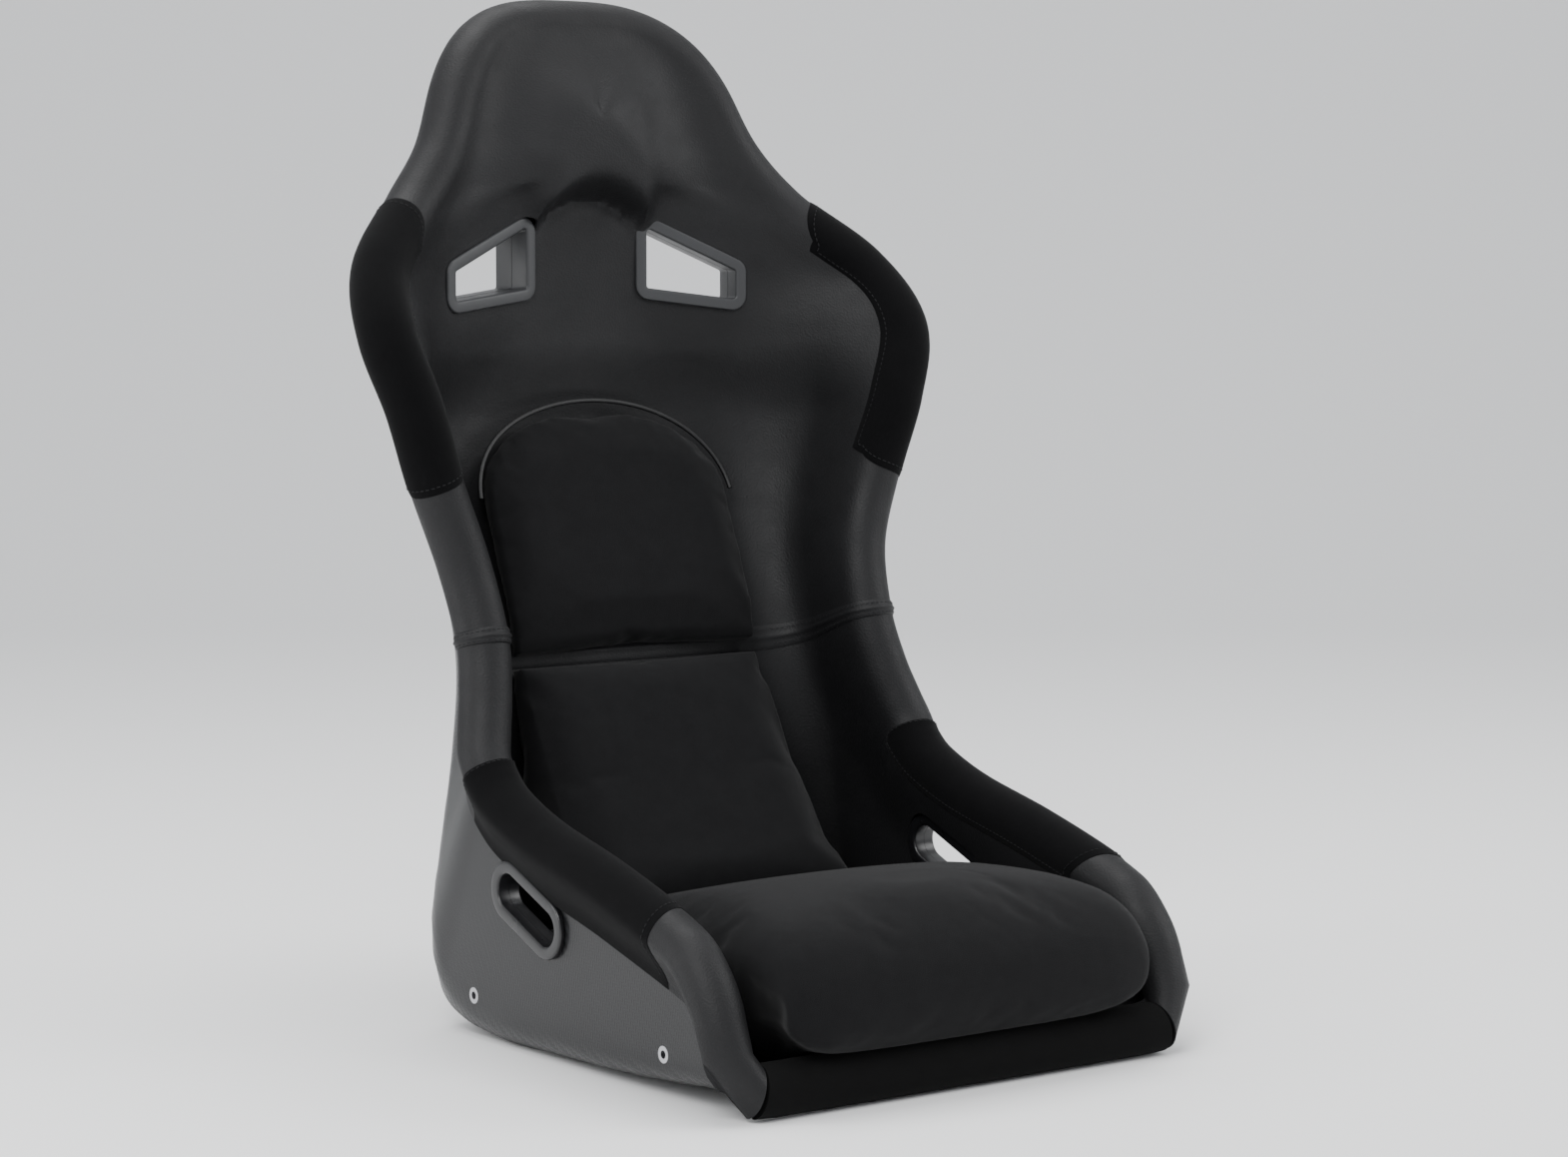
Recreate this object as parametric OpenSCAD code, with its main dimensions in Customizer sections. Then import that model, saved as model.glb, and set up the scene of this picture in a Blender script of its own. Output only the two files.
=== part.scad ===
// Fixed-back racing bucket seat, with loose cushions held by hook-and-loop tape.
// Frame: +Z up, the seat faces -Y, X = 0 is its plane of symmetry, Z = 0 is the floor.

/* [Shell] */
// Thickness of the moulded shell
shell_t = 4; // [3:0.5:4]
// Shift of the whole seat along Y, which centres it front to back
centre_y = -293; // [-300:1:-285]

/* [Padding] */
// Radius of the padded roll round the rim
roll_r = 24; // [20:1:24]
// Thickness of the sewn cover
cover_t = 2.5; // [2:0.5:3]
// Thickness of the padding on the headrest
head_pad = 56; // [46:1:60]
// Thickness of the padding between the shoulder slots
slot_pad = 26; // [22:1:30]
// Thickness of the lining under the loose cushions
lining_pad = 8; // [8:0.5:9]
// Thickness of a suede patch
patch_t = 1.2; // [1:0.1:1.5]

/* [Cushions] */
// Half width of the upper back cushion
upper_half_w = 134; // [125:1:136]
// Half width of the lower back cushion
lower_half_w = 146; // [135:1:150]
// Half width of the seat cushion
seat_half_w = 190; // [180:1:192]
// Thickness of a cushion's cover
fabric_t = 2; // [1.5:0.5:3]

/* [Belt slots] */
// Height of the shoulder slots above the floor
slot_z = 667; // [660:1:672]
// Gap between the two shoulder bezels
slot_gap = 126; // [118:1:130]
// Height of the lap slots above the floor
lap_z = 126; // [120:1:130]
// Distance of the lap slots behind the front edge
lap_y = 300; // [294:1:306]

/* [Mounting] */
// Distance between the two threaded inserts on one side
mount_pitch = 290; // [280:5:300]
// Height of the inserts above the floor
mount_z = 38; // [38:1:42]
// Distance of the rear insert behind the front edge
mount_y = 392; // [385:1:396]

/* [Hidden] */

// Assembly gap between neighbouring pieces
gap = 0.3;
// Half width of the straight side walls from the front to the hips
side_x = 226;

// Cross-sections of the shell's inner face, from the front lip to the top of the head.
// Each row: floor or back Y, Z; rim half width, rim Y, Z; corner radius; wall angle.
STATIONS = [
  [8, 24, side_x, 44, 112, 24, 90],
  [80, 18, side_x, 104, 136, 18, 90],
  [180, 10, side_x, 190, 161, 18, 90],
  [280, 6, side_x, 278, 182, 20, 90],
  [374, 4, side_x, 335, 203, 22, 90],
  [446, 16, side_x, 362, 222, 24, 90],
  [474, 66, side_x, 376, 242, 30, 90],
  [481, 140, 220, 386, 265, 40, 88],
  [488, 222, 212, 397, 296, 50, 85],
  [507, 312, 206, 411, 342, 62, 80],
  [541, 400, 213, 430, 408, 80, 76],
  [571, 480, 236, 436, 478, 110, 72],
  [587, 548, 258, 434, 544, 150, 65],
  [592, 606, 275, 448, 604, 200, 55],
  [592, 660, 258, 488, 657, 220, 50],
  [590, 712, 203, 532, 709, 200, 38],
  [588, 762, 161, 551, 759, 180, 33],
  [590, 822, 134, 567, 820, 170, 28],
  [594, 881, 110, 580, 879, 160, 24]];
last_u = len(STATIONS) - 1;
// Station spacing along the spine, near enough to turn station steps into millimetres
step_mm = 76;

// Rails cross the shell from its rim to its centreline. k counts them round half the rim:
// 0 to 1 front lip, 1 to 2 front corner, 2 to 18 side, 18 to 19 top of the head.
FRONT_CORNER = 42;
CORNER_U = 0.5;
HEAD_U = 16.5;
HEAD_POWER = 3.2;
waist_k = 10.5;
// Rails at which the apron across the front lip meets the side rolls, and the rolls' foam starts
apron_k = 0.78;
foam_k = 1.5;
front_ks = [0, 0.26, 0.52, apron_k, 0.89];
corner_ks = [1:0.25:1.75];

function smooth(t) = let (c = min(1, max(0, t))) c * c * (3 - 2 * c);
function unit(v) = v / norm(v);
function mirror_x(p) = [-p[0], p[1], p[2]];
function spline(a, b, c, d, t) =
  0.5 * (2 * b + (c - a) * t + (2 * a - 5 * b + 4 * c - d) * t * t
    + (3 * b - 3 * c + d - a) * t * t * t);
function station(u) =
  let (i = min(last_u - 1, max(0, floor(u))), s = STATIONS)
  spline(i > 0 ? s[i - 1] : 2 * s[0] - s[1], s[i], s[i + 1],
    i + 2 <= last_u ? s[i + 2] : 2 * s[last_u] - s[last_u - 1], u - i);

// Parts of one cross-section: flat half width, straight wall length, length of the half section
function rim_dir(s) = unit([0, s[3] - s[0], s[4] - s[1]]);
function rim_height(s) = norm([s[3] - s[0], s[4] - s[1]]);
function wall_len(s) = (rim_height(s) - s[5] * (1 - cos(s[6]))) / sin(s[6]);
function flat_half(s) = s[2] - s[5] * sin(s[6]) - wall_len(s) * cos(s[6]);
function arc_len(s) = s[5] * s[6] * PI / 180;
function half_len(u) = let (s = station(u)) flat_half(s) + arc_len(s) + wall_len(s);

// The back is pressed flat round each shoulder slot, so that the bezels seat on it
function slot_flat(u, x) =
  6.5 * 0.5 * (1 + cos(180 * min(1, abs(abs(x) - slot_gap / 2 - 54) / 75)))
    * smooth((u - 12.4) / 0.9) * smooth((15.6 - u) / 0.9);

// Point of the shell's inner face at station u, a millimetres out from the centreline
function face(u, a) =
  let (s = station(u), n = rim_dir(s), c = flat_half(s), r = s[5], arc = arc_len(s),
    b = abs(a), turn = b < c ? 0 : min(s[6], (b - c) / r * 180 / PI),
    wall = max(0, b - c - arc),
    x = min(b, c) + r * sin(turn) + wall * cos(s[6]),
    h = r * (1 - cos(turn)) + wall * sin(s[6]) + slot_flat(u, x))
  [sign(a) * x, s[0] + n[1] * h, s[1] + n[2] * h];
function face_normal(u, a) =
  unit(cross(face(u, a + 1) - face(u, a - 1), face(u + 0.02, a) - face(u - 0.02, a)));

// Rim of the shell as [a, u]
function rim(k) =
  k <= 1 ? [max(0.0001, k) * (half_len(0) - FRONT_CORNER), 0]
  : k <= 2 ? let (t = 90 * (k - 1), u = CORNER_U * (1 - cos(t)))
    [half_len(u) - FRONT_CORNER * (1 - sin(t)), u]
  : k <= 18 ? [half_len(k - 1.5), k - 1.5]
  : let (t = 90 * (k - 18), c = cos(t), s = sin(t),
      f = pow(pow(c, HEAD_POWER) + pow(s, HEAD_POWER), -1 / HEAD_POWER),
      u = HEAD_U + (last_u - HEAD_U) * f * s)
    [max(0.01, half_len(u) * f * c), u];
// Station at which rail k reaches the centreline
function rail_end(k) =
  k <= 2 ? 1.25 + 0.1 * k : k <= 5 ? 1.45 + 0.683 * (k - 2) : k <= 17.5 ? k - 1.5
  : 16 + 0.5 * (k - 17.5);
function rail_len(k) = let (r = rim(k)) norm([r[0], (r[1] - rail_end(k)) * step_mm]);
function rail(k, q) = let (r = rim(k)) [r[0] * (1 - q), r[1] * (1 - q) + rail_end(k) * q];

// Columns along a rail, from the centreline over the rim to the hem outside:
// [-1, share of the flat], [0, share of the corner], [1, distance in from the rim],
// [2, angle round the rim], [3, distance in from the rim, outside]
INNER = [[-1, 0], [-1, 0.5], [0, 0], [0, 0.5], [0, 1], [1, 80], [1, 50], [1, 30], [1, 14], [1, 0]];
corner_i = 4;
FAN = [for (f = [60:-30:-60]) [2, f]];
HEM = [[3, 0], [3, 18], [3, 40]];
bolster_d = 80;
// Least share of a rail between two columns
least = 0.04;

// Shares of rail k at which the corner of the section ends and begins
function corner_end(k) =
  let (r = rim(k), s = station(r[1]))
  max(1 - (flat_half(s) + arc_len(s)) / max(1, r[0]), bolster_d / rail_len(k) + least);
function corner_start(k) =
  let (r = rim(k), s = station(r[1]), end = corner_end(k))
  min(max(end + least, 1 - flat_half(s) / max(1, r[0])), end + 0.45 * (1 - end));
function share(k, c) =
  c[0] == -1 ? 1 - (1 - corner_start(k)) * c[1]
  : c[0] == 0 ? corner_start(k) + (corner_end(k) - corner_start(k)) * c[1]
  : c[0] == 2 ? 0 : c[1] / rail_len(k);
function edge_dir(k) =
  let (e = 0.02, hi = min(19, k + e), lo = max(0, k - e), p = rim(hi), q = rim(lo))
  k < 0.01 ? [1, 0, 0] : k > 18.99 ? [-1, 0, 0] : unit(face(p[1], p[0]) - face(q[1], q[0]));

// Point at height t above the shell, on its inner face, round its edge or on its outer face
function layer_half(k, c, t) =
  let (q = rail(k, share(k, c)), p = face(q[1], q[0]), n = face_normal(q[1], q[0]))
  c[0] < 2 ? p + n * t
  : c[0] > 2 ? p - n * (shell_t + t)
  : let (o = cross(edge_dir(k), n))
    p - n * shell_t / 2 + (n * sin(c[1]) + o * cos(c[1])) * (shell_t / 2 + t);

// Height of the finished padding above the shell
function centre_pad(z) =
  lining_pad + (slot_pad - lining_pad) * smooth((z - 520) / 70)
    + (head_pad - slot_pad) * smooth((z - 702) / 48);
function rim_pad(k) = roll_r - shell_t / 2 - 2 * (1 - smooth((k - 0.8) / 0.6));
function pad(k, c) =
  let (q = rail(k, share(k, c)), z = face(q[1], q[0])[2], d = share(k, c) * rail_len(k),
    m = centre_pad(z))
  c[0] < 2 ? m + (rim_pad(k) - m) * (1 - smooth(d / 88))
  : c[0] == 2 ? rim_pad(k)
  : cover_t + 0.4 + (rim_pad(k) - cover_t - 0.4) * (1 - smooth((d + 4) / 42));

// The whole row across the seat for rail k, from the left hem to the right hem
function row(k, cols, h) =
  let (half = [for (c = cols) layer_half(k, c, h(k, c))])
  concat([for (i = [len(cols) - 1:-1:1]) mirror_x(half[i])],
    [[0, half[0][1], half[0][2]]], [for (i = [1:len(cols) - 1]) half[i]]);
// The part of a row on one side only, in order of X; a negative k counts round the other half
function side_row(k, cols, h, side) =
  let (half = [for (c = cols) layer_half(abs(k), c, h(abs(k), c))], n = len(cols))
  side < 0 ? [for (i = [n - 1:-1:0]) mirror_x(half[i])]
  : [for (p = half) k < 0 ? mirror_x(p) : p];

// Closed solid between two grids of points. With a zip, the first or last row folds on itself.
// Cells are split along one diagonal on the right half and along the other on the left half.
module sheet_solid(top, bottom, zip_first = false, zip_last = false, left = undef) {
  rows = len(top);
  cols = len(top[0]);
  mid = (cols - 1) / 2;
  function at(r, c) =
    r * cols + ((c > mid && ((r == 0 && zip_first) || (r == rows - 1 && zip_last)))
      ? cols - 1 - c : c);
  below = rows * cols;
  points = concat([for (r = top) for (p = r) p], [for (r = bottom) for (p = r) p]);
  function tri(a, b, c) = a == b || b == c || a == c ? [] : [[a, b, c]];
  function quad(a, b, c, d, other = false) =
    other ? concat(tri(a, b, d), tri(b, c, d)) : concat(tri(a, b, c), tri(a, c, d));
  skin = [for (r = [0:rows - 2]) for (c = [0:cols - 2])
    let (turned = zip_last && r == rows - 2 && abs(c + 0.5 - mid) < 1,
      other = is_undef(left) ? (c < mid) != turned : left(r))
    each concat(quad(at(r, c), at(r + 1, c), at(r + 1, c + 1), at(r, c + 1), other),
      quad(below + at(r, c), below + at(r, c + 1),
        below + at(r + 1, c + 1), below + at(r + 1, c), other))];
  edges = [for (r = [0:rows - 2]) for (c = [0, cols - 1])
    each c == 0 ? quad(at(r, c), below + at(r, c), below + at(r + 1, c), at(r + 1, c))
      : quad(at(r, c), at(r + 1, c), below + at(r + 1, c), below + at(r, c))];
  first = zip_first ? [] : [for (c = [0:cols - 2])
    each quad(at(0, c), at(0, c + 1), below + at(0, c + 1), below + at(0, c))];
  last = zip_last ? [] : [for (c = [0:cols - 2])
    each quad(at(rows - 1, c), below + at(rows - 1, c),
      below + at(rows - 1, c + 1), at(rows - 1, c + 1))];
  polyhedron(points, concat(skin, edges, first, last), convexity = 8);
}

// Rails of a stretch of the rim, close together at the front corner and the head
function rails(a, b) =
  let (all = concat([each front_ks], [for (k = corner_ks) k], [for (k = [2:0.5:17.5]) k],
    [for (k = [18:0.125:19]) k]))
  concat([a], [for (k = all) if (k > a + 0.05 && k < b - 0.05) k], [b]);

module padding_layer(a, b, cols, low, high, zip_last = false) {
  sheet_solid([for (k = rails(a, b)) row(k, cols, high)], [for (k = rails(a, b)) row(k, cols, low)],
    false, zip_last);
}
module side_layer(a, b, cols, low, high, side) {
  ks = rails(a, b);
  sheet_solid([for (k = ks) side_row(k, cols, high, side)],
    [for (k = ks) side_row(k, cols, low, side)], left = function(r) side < 0);
}

ALL_IN = concat(INNER, FAN, HEM);
FOAM_IN = concat(INNER, FAN);
PATCH = concat([[1, 14], [1, 0]], FAN, HEM);
EDGE = concat([for (i = [corner_i:len(INNER) - 1]) INNER[i]], FAN);
CENTRE = [for (i = [0:corner_i]) INNER[i]];
APRON = concat([[1, 50], [1, 30], [1, 14], [1, 0]], FAN, HEM);
// Heights of the layers above the shell
on_shell = function(k, c) 0;
under_shell = function(k, c) -shell_t;
foam_low = function(k, c) gap;
apron_low = function(k, c) 3 * gap;
foam_top = function(k, c) pad(k, c) - cover_t - gap;
cover_low = function(k, c) pad(k, c) - cover_t;
cover_top = function(k, c) pad(k, c);
patch_low = function(k, c) pad(k, c) + gap;
patch_top = function(k, c) pad(k, c) + gap + patch_t;

// Outline round the corner circles of a convex polygon, given clockwise
corner_steps = 6;
module rounded(centres, r) {
  n = len(centres);
  function turn(i) = let (d = centres[(i + 1) % n] - centres[(i + n) % n]) atan2(d[0], -d[1]);
  polygon([for (i = [0:n - 1])
    let (to = turn(i), from = turn(i + n - 1), sweep = (from - to + 720) % 360)
    for (j = [0:corner_steps]) let (t = from - sweep * j / corner_steps)
    centres[i] + r * [cos(t), sin(t)]]);
}

// Shoulder slots, in a frame whose Y runs through the back, square to the pressed flat
slot_turn = 13;
slot_x = slot_gap / 2;
slot_back_y = 599;
SLOT = [[14, 25], [97, -12], [97, -33], [14, -23]];
ring_r = 14;
hole_r = 3;
sleeve_r = 5;
slot_front = 33;
slot_split = 16;
slot_rear = 1.2;
ring_t = 4;
module in_slot(side) {
  mirror([side > 0 ? 0 : 1, 0, 0])
    translate([slot_x, slot_back_y, slot_z]) rotate([0, 0, -slot_turn]) rotate([90, 0, 0])
      children();
}
module slot_ring(r, from, to) {
  translate([0, 0, from]) linear_extrude(to - from) rounded(SLOT, r);
}
// Room for a bezel: its sleeve all the way through, and its ring in front of the padding
module slot_room(side) {
  in_slot(side) {
    slot_ring(sleeve_r + gap, -60, 90);
    slot_ring(ring_r + gap, slot_front - gap, 90);
    slot_ring(ring_r + gap, -60, -slot_rear + gap);
  }
}
module shoulder_bezel_front(side) {
  color("#6a6a6a") place() in_slot(side) difference() {
    union() {
      slot_ring(ring_r, slot_front, slot_front + ring_t);
      slot_ring(sleeve_r, slot_split + gap, slot_front + 1);
    }
    slot_ring(hole_r, 0, 60);
  }
}
module shoulder_bezel_rear(side) {
  color("#6a6a6a") place() in_slot(side) difference() {
    union() {
      slot_ring(ring_r, -slot_rear - ring_t, -slot_rear);
      slot_ring(sleeve_r, -slot_rear - 1, slot_split);
    }
    slot_ring(hole_r, -20, 40);
  }
}

// Lap slots, in a frame whose Z runs straight out through the side wall
lap_tilt = 22;
LAP = [[-31, 0], [31, 0]];
lap_ring_r = 26;
lap_hole_r = 15;
lap_sleeve_r = 17.5;
lap_ring_t = 5;
lap_in = side_x - lining_pad;
lap_split = side_x - 2;
lap_out = side_x + shell_t + gap;
module in_lap(side) {
  mirror([side > 0 ? 0 : 1, 0, 0]) translate([0, lap_y, lap_z]) rotate([lap_tilt, 0, 0])
    rotate([90, 0, 90]) children();
}
module lap_ring(r, from, to) {
  translate([0, 0, from]) linear_extrude(to - from) {
    for (p = LAP) translate(p) circle(r, $fn = 64);
    translate([LAP[0][0], -r]) square([LAP[1][0] - LAP[0][0], 2 * r]);
  }
}
module lap_room(side) {
  in_lap(side) {
    lap_ring(lap_sleeve_r + gap, lap_in - 30, lap_out + 30);
    lap_ring(lap_ring_r + gap, lap_out, lap_out + 30);
    lap_ring(lap_ring_r + gap, lap_in - 40, lap_in - gap);
  }
}
module lap_bezel_inner(side) {
  color("#2e2e2e") place() in_lap(side) difference() {
    union() {
      lap_ring(lap_ring_r, lap_in - gap * 2 - lap_ring_t, lap_in - gap * 2);
      lap_ring(lap_sleeve_r, lap_in - gap * 3, lap_split - gap);
    }
    lap_ring(lap_hole_r, lap_in - 20, lap_out + 20);
  }
}
module lap_bezel_outer(side) {
  color("#2e2e2e") place() in_lap(side) difference() {
    union() {
      lap_ring(lap_ring_r, lap_out, lap_out + lap_ring_t);
      lap_ring(lap_sleeve_r, lap_split, lap_out + 1);
    }
    lap_ring(lap_hole_r, lap_in - 20, lap_out + 20);
  }
}
module belt_rooms() {
  for (side = [-1, 1]) {
    slot_room(side);
    lap_room(side);
  }
}

// Threaded inserts in the side walls, each pair through a plate bonded inside the wall
insert_r = 7;
insert_len = 9;
thread_r = 3.4;
plate_t = 3;
plate_h = 23;
plate_end = 25;
INSERT_Y = [mount_y, mount_y - mount_pitch];
module insert_bores(r) {
  for (side = [-1, 1]) for (y = INSERT_Y)
    translate([side * (side_x + shell_t - insert_len / 2), y, mount_z]) rotate([0, 90, 0])
      cylinder(r = r, h = insert_len + 2, center = true, $fn = 48);
}
module mount_plate(side) {
  low = INSERT_Y[1] - plate_end;
  color("silver") place() difference() {
    translate([side > 0 ? side_x - plate_t - gap : -side_x + gap, low, mount_z - 3])
      cube([plate_t, mount_pitch + 2 * plate_end, plate_h]);
    insert_bores(insert_r + gap / 2);
  }
}
module mount_plate_room() {
  for (side = [-1, 1])
    translate([side > 0 ? side_x - plate_t - gap * 2 : -side_x - 0.01,
      INSERT_Y[1] - plate_end - 1, mount_z - 4])
      cube([plate_t + gap * 2 + 0.01, mount_pitch + 2 * plate_end + 2, plate_h + 2]);
}
module threaded_inserts() {
  color("silver") place() difference() {
    for (side = [-1, 1]) for (y = INSERT_Y)
      translate([side * (side_x + shell_t - insert_len / 2), y, mount_z]) rotate([0, 90, 0])
        cylinder(r = insert_r, h = insert_len, center = true, $fn = 48);
    insert_bores(thread_r);
  }
}

module place() {
  translate([0, centre_y, 0]) children();
}

module shell() {
  ks = rails(0, 19);
  color("dimgray") place() difference() {
    sheet_solid([for (k = ks) row(k, INNER, on_shell)],
      [for (k = ks) row(k, INNER, under_shell)], true, true);
    belt_rooms();
    insert_bores(insert_r + gap / 2);
  }
}

module upper_cover() {
  color("#3c3c3c") place() difference() {
    padding_layer(waist_k + 0.01, 19, ALL_IN, cover_low, cover_top, true);
    belt_rooms();
  }
}
module lower_cover() {
  color("#3a3a3a") place() difference() {
    padding_layer(apron_k, waist_k - 0.01, ALL_IN, cover_low, cover_top);
    belt_rooms();
    insert_bores(insert_r + gap);
  }
}
module waist_band() {
  color("#333333") place()
    padding_layer(waist_k - 0.12, waist_k + 0.12, ALL_IN, patch_low, patch_top);
}
module front_apron() {
  half = [0.001, front_ks[1], front_ks[2], apron_k - 0.01];
  ks = concat([for (i = [len(half) - 1:-1:0]) -half[i]], half);
  color("#1c1c1c") place() sheet_solid([for (k = ks) side_row(k, APRON, cover_top, 1)],
    [for (k = ks) side_row(k, APRON, apron_low, 1)], left = function(r) r < len(half));
}
module head_foam() {
  color("#555555") place() padding_layer(16.5, 19, FOAM_IN, foam_low, foam_top, true);
}
module back_foam() {
  color("#5a5a5a") place() difference() {
    padding_layer(waist_k + 0.02, 16.49, CENTRE, foam_low, foam_top);
    belt_rooms();
  }
}
module pan_foam() {
  color("#5a5a5a") place() difference() {
    padding_layer(apron_k + 0.01, waist_k - 0.02, CENTRE, foam_low, foam_top);
    mount_plate_room();
    belt_rooms();
    insert_bores(insert_r + gap);
  }
}
module shoulder_foam(side) {
  color("#4f4f4f") place() difference() {
    side_layer(waist_k + 0.02, 16.49, EDGE, foam_low, foam_top, side);
    belt_rooms();
  }
}
module thigh_foam(side) {
  color("#4f4f4f") place() difference() {
    side_layer(foam_k, waist_k - 0.02, EDGE, foam_low, foam_top, side);
    mount_plate_room();
    belt_rooms();
    insert_bores(insert_r + gap);
  }
}
module shoulder_patch(side) {
  color("#1e1e1e") place() side_layer(12.5, 16.5, PATCH, patch_low, patch_top, side);
}
module thigh_patch(side) {
  color("#1e1e1e") place() difference() {
    side_layer(2.5, 7.5, PATCH, patch_low, patch_top, side);
    lap_room(side);
  }
}

// Loose cushions. They come off along the line of their touching faces.
slide_dir = [0, -0.917, 0.4];
cushion_gap = 3.2;
// Lines between the cushions, each through a point of the front faces
WAIST_LINE = [476, 314];
SEAT_LINE = [334, 100];
function lining(u, t) =
  let (p = face(u, 0), n = face_normal(u, 0), q = p + n * (centre_pad(p[2]) + t)) [q[1], q[2]];
// Room kept clear behind and under a cushion, parallel to the lining
module bed(from, to, m) {
  high = function(k, c) pad(k, c) + cushion_gap + m;
  low = function(k, c) -45;
  padding_layer(from, to, concat(CENTRE, [[1, 80]]), low, high);
}
function along(p, d) = [p[0] + slide_dir[1] * d, p[1] + slide_dir[2] * d];
function across(p, d) = [p[0] + slide_dir[2] * d, p[1] - slide_dir[1] * d];

// Side profiles, drawn in m millimetres from the outside
function upper_profile(m) = concat(
  [along(across(WAIST_LINE, 1 + m), -40)],
  [for (u = [9.5:0.4:11.5]) lining(u, -4)],
  [[570 - m, 534 - m], [556 + m, 530 - m], [540 + m, 508], [518 + m, 452], [496 + m, 396],
    [480 + m, 350], across(WAIST_LINE, 1 + m) + [m, m / 4]]);
function lower_profile(m) = concat(
  [along(across(SEAT_LINE, 1 + m), -160)],
  [for (u = [5.7:0.38:8.4]) lining(u, -4)],
  [along(across(WAIST_LINE, -1 - m), -40), across(WAIST_LINE, -1 - m) + [m, 0]],
  [[448 + m, 268], [410 + m, 205], [368 + m, 148], [342 + m, 116]],
  [across(SEAT_LINE, 1 + m) + [m, m / 2]]);
module side_profile(points, half_w) {
  rotate([90, 0, 90]) translate([0, 0, -half_w]) linear_extrude(2 * half_w) polygon(points);
}
// Top of the upper cushion, and the rise of its arch
arch_top = 536;
arch = 90;
module upper_outline(m) {
  w = upper_half_w - m;
  rotate([90, 0, 0]) translate([0, 0, -700]) linear_extrude(500) polygon(concat(
    [[-w, 200], [w, 200]],
    [for (t = [0:10:180]) [w * cos(t), arch_top - m - arch + arch * pow(sin(t), 0.9)]]));
}
module lower_outline(m) {
  w = lower_half_w - m;
  rotate([90, 0, 0]) translate([0, 0, -700]) linear_extrude(500)
    polygon([[-w, 20], [w, 20], [w, 120], [w - 16, 360], [16 - w, 360], [-w, 120]]);
}
module upper_block(m) {
  difference() {
    intersection() {
      side_profile(upper_profile(m), upper_half_w);
      upper_outline(m);
    }
    bed(9.5, 14.5, m);
  }
}
module lower_block(m) {
  difference() {
    intersection() {
      side_profile(lower_profile(m), lower_half_w);
      lower_outline(m);
    }
    bed(6, 11.5, m);
  }
}
function seat_profile(m) = concat(
  [[62 + m, 36 + m], [40, 44 + m], [4 + m, 54 + m], [-24 + m, 40 + m], [-34 + m, 70],
    [-28 + m, 104], [-6 + m, 134 - m], [30, 148 - m], [90, 150 - m], [170, 140 - m],
    [250, 124 - m]],
  [across(SEAT_LINE, -1 - m) - [6, 0], along(across(SEAT_LINE, -1 - m), -150)],
  [for (u = [4.6:-0.39:1]) lining(u, -4)]);
module seat_block(m) {
  w = seat_half_w - m;
  difference() {
    intersection() {
      side_profile(seat_profile(m), w);
      rotate([90, 0, 0]) translate([0, 0, -700]) linear_extrude(800)
        polygon([[60 - w, -20], [w - 60, -20], [w - 30, 36 + m], [w, 66 + m], [w, 110], [w - 30, 136],
          [110, 146 - m], [-110, 146 - m], [30 - w, 136], [-w, 110], [-w, 66 + m],
          [30 - w, 36 + m]]);
    }
    bed(apron_k - 0.06 - 0.02 * m, 7.5, m);
  }
}

module upper_cushion_cover() {
  color("#262626") place() difference() {
    upper_block(0);
    upper_block(fabric_t);
  }
}
module upper_cushion_foam() {
  color("#8a8a80") place() upper_block(fabric_t + gap);
}
module lower_cushion_cover() {
  color("#262626") place() difference() {
    lower_block(0);
    lower_block(fabric_t);
  }
}
module lower_cushion_foam() {
  color("#8a8a80") place() lower_block(fabric_t + gap);
}
module seat_cushion_cover() {
  color("#2c2c2c") place() difference() {
    seat_block(0);
    seat_block(fabric_t);
  }
}
module seat_cushion_foam() {
  color("#8a8a80") place() seat_block(fabric_t + gap);
}
// Piping along the arch of the upper cushion, a round bead
piping_r = 2.2;
function arch_point(t) =
  let (x = (upper_half_w + piping_r + gap) * cos(t),
    z = arch_top - arch + (arch + piping_r + gap) * pow(sin(t), 0.9))
  [x, piping_y(z), z];
function piping_y(z) = lookup(z, [[440, 522], [470, 535], [500, 548], [520, 556], [540, 562]]);
function bead(t, angle) =
  let (p = arch_point(t), q = arch_point(t + 1), d = unit([q[0] - p[0], 0, q[2] - p[2]]))
  p + piping_r * (cos(angle) * [d[2], 0, -d[0]] + sin(angle) * [0, 1, 0]);
module upper_cushion_piping() {
  ts = [6:7:174];
  color("#111111") place() sheet_solid(
    [for (t = ts) [for (angle = [30:30:150]) bead(t, angle)]],
    [for (t = ts) [for (angle = [-30:-30:-150]) bead(t, angle)]]);
}

// Hook tape sewn to the lining under each cushion
tape_w = 50;
tape_t = 1;
module tape(from, to, x) {
  low = function(k, c) pad(k, c) + gap / 3;
  high = function(k, c) pad(k, c) + gap / 3 + tape_t;
  intersection() {
    padding_layer(from, to, CENTRE, low, high);
    for (side = [-1, 1])
      translate([side * x - tape_w / 2, 0, 0]) cube([tape_w, 700, 700]);
  }
}
module upper_hook_strips() {
  color("#151515") place() tape(11, 12.5, 70);
}
module lower_hook_strips() {
  color("#151515") place() tape(8.5, 10, 80);
}
module seat_hook_strips() {
  color("#151515") place() tape(2.5, 5, 100);
}

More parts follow.
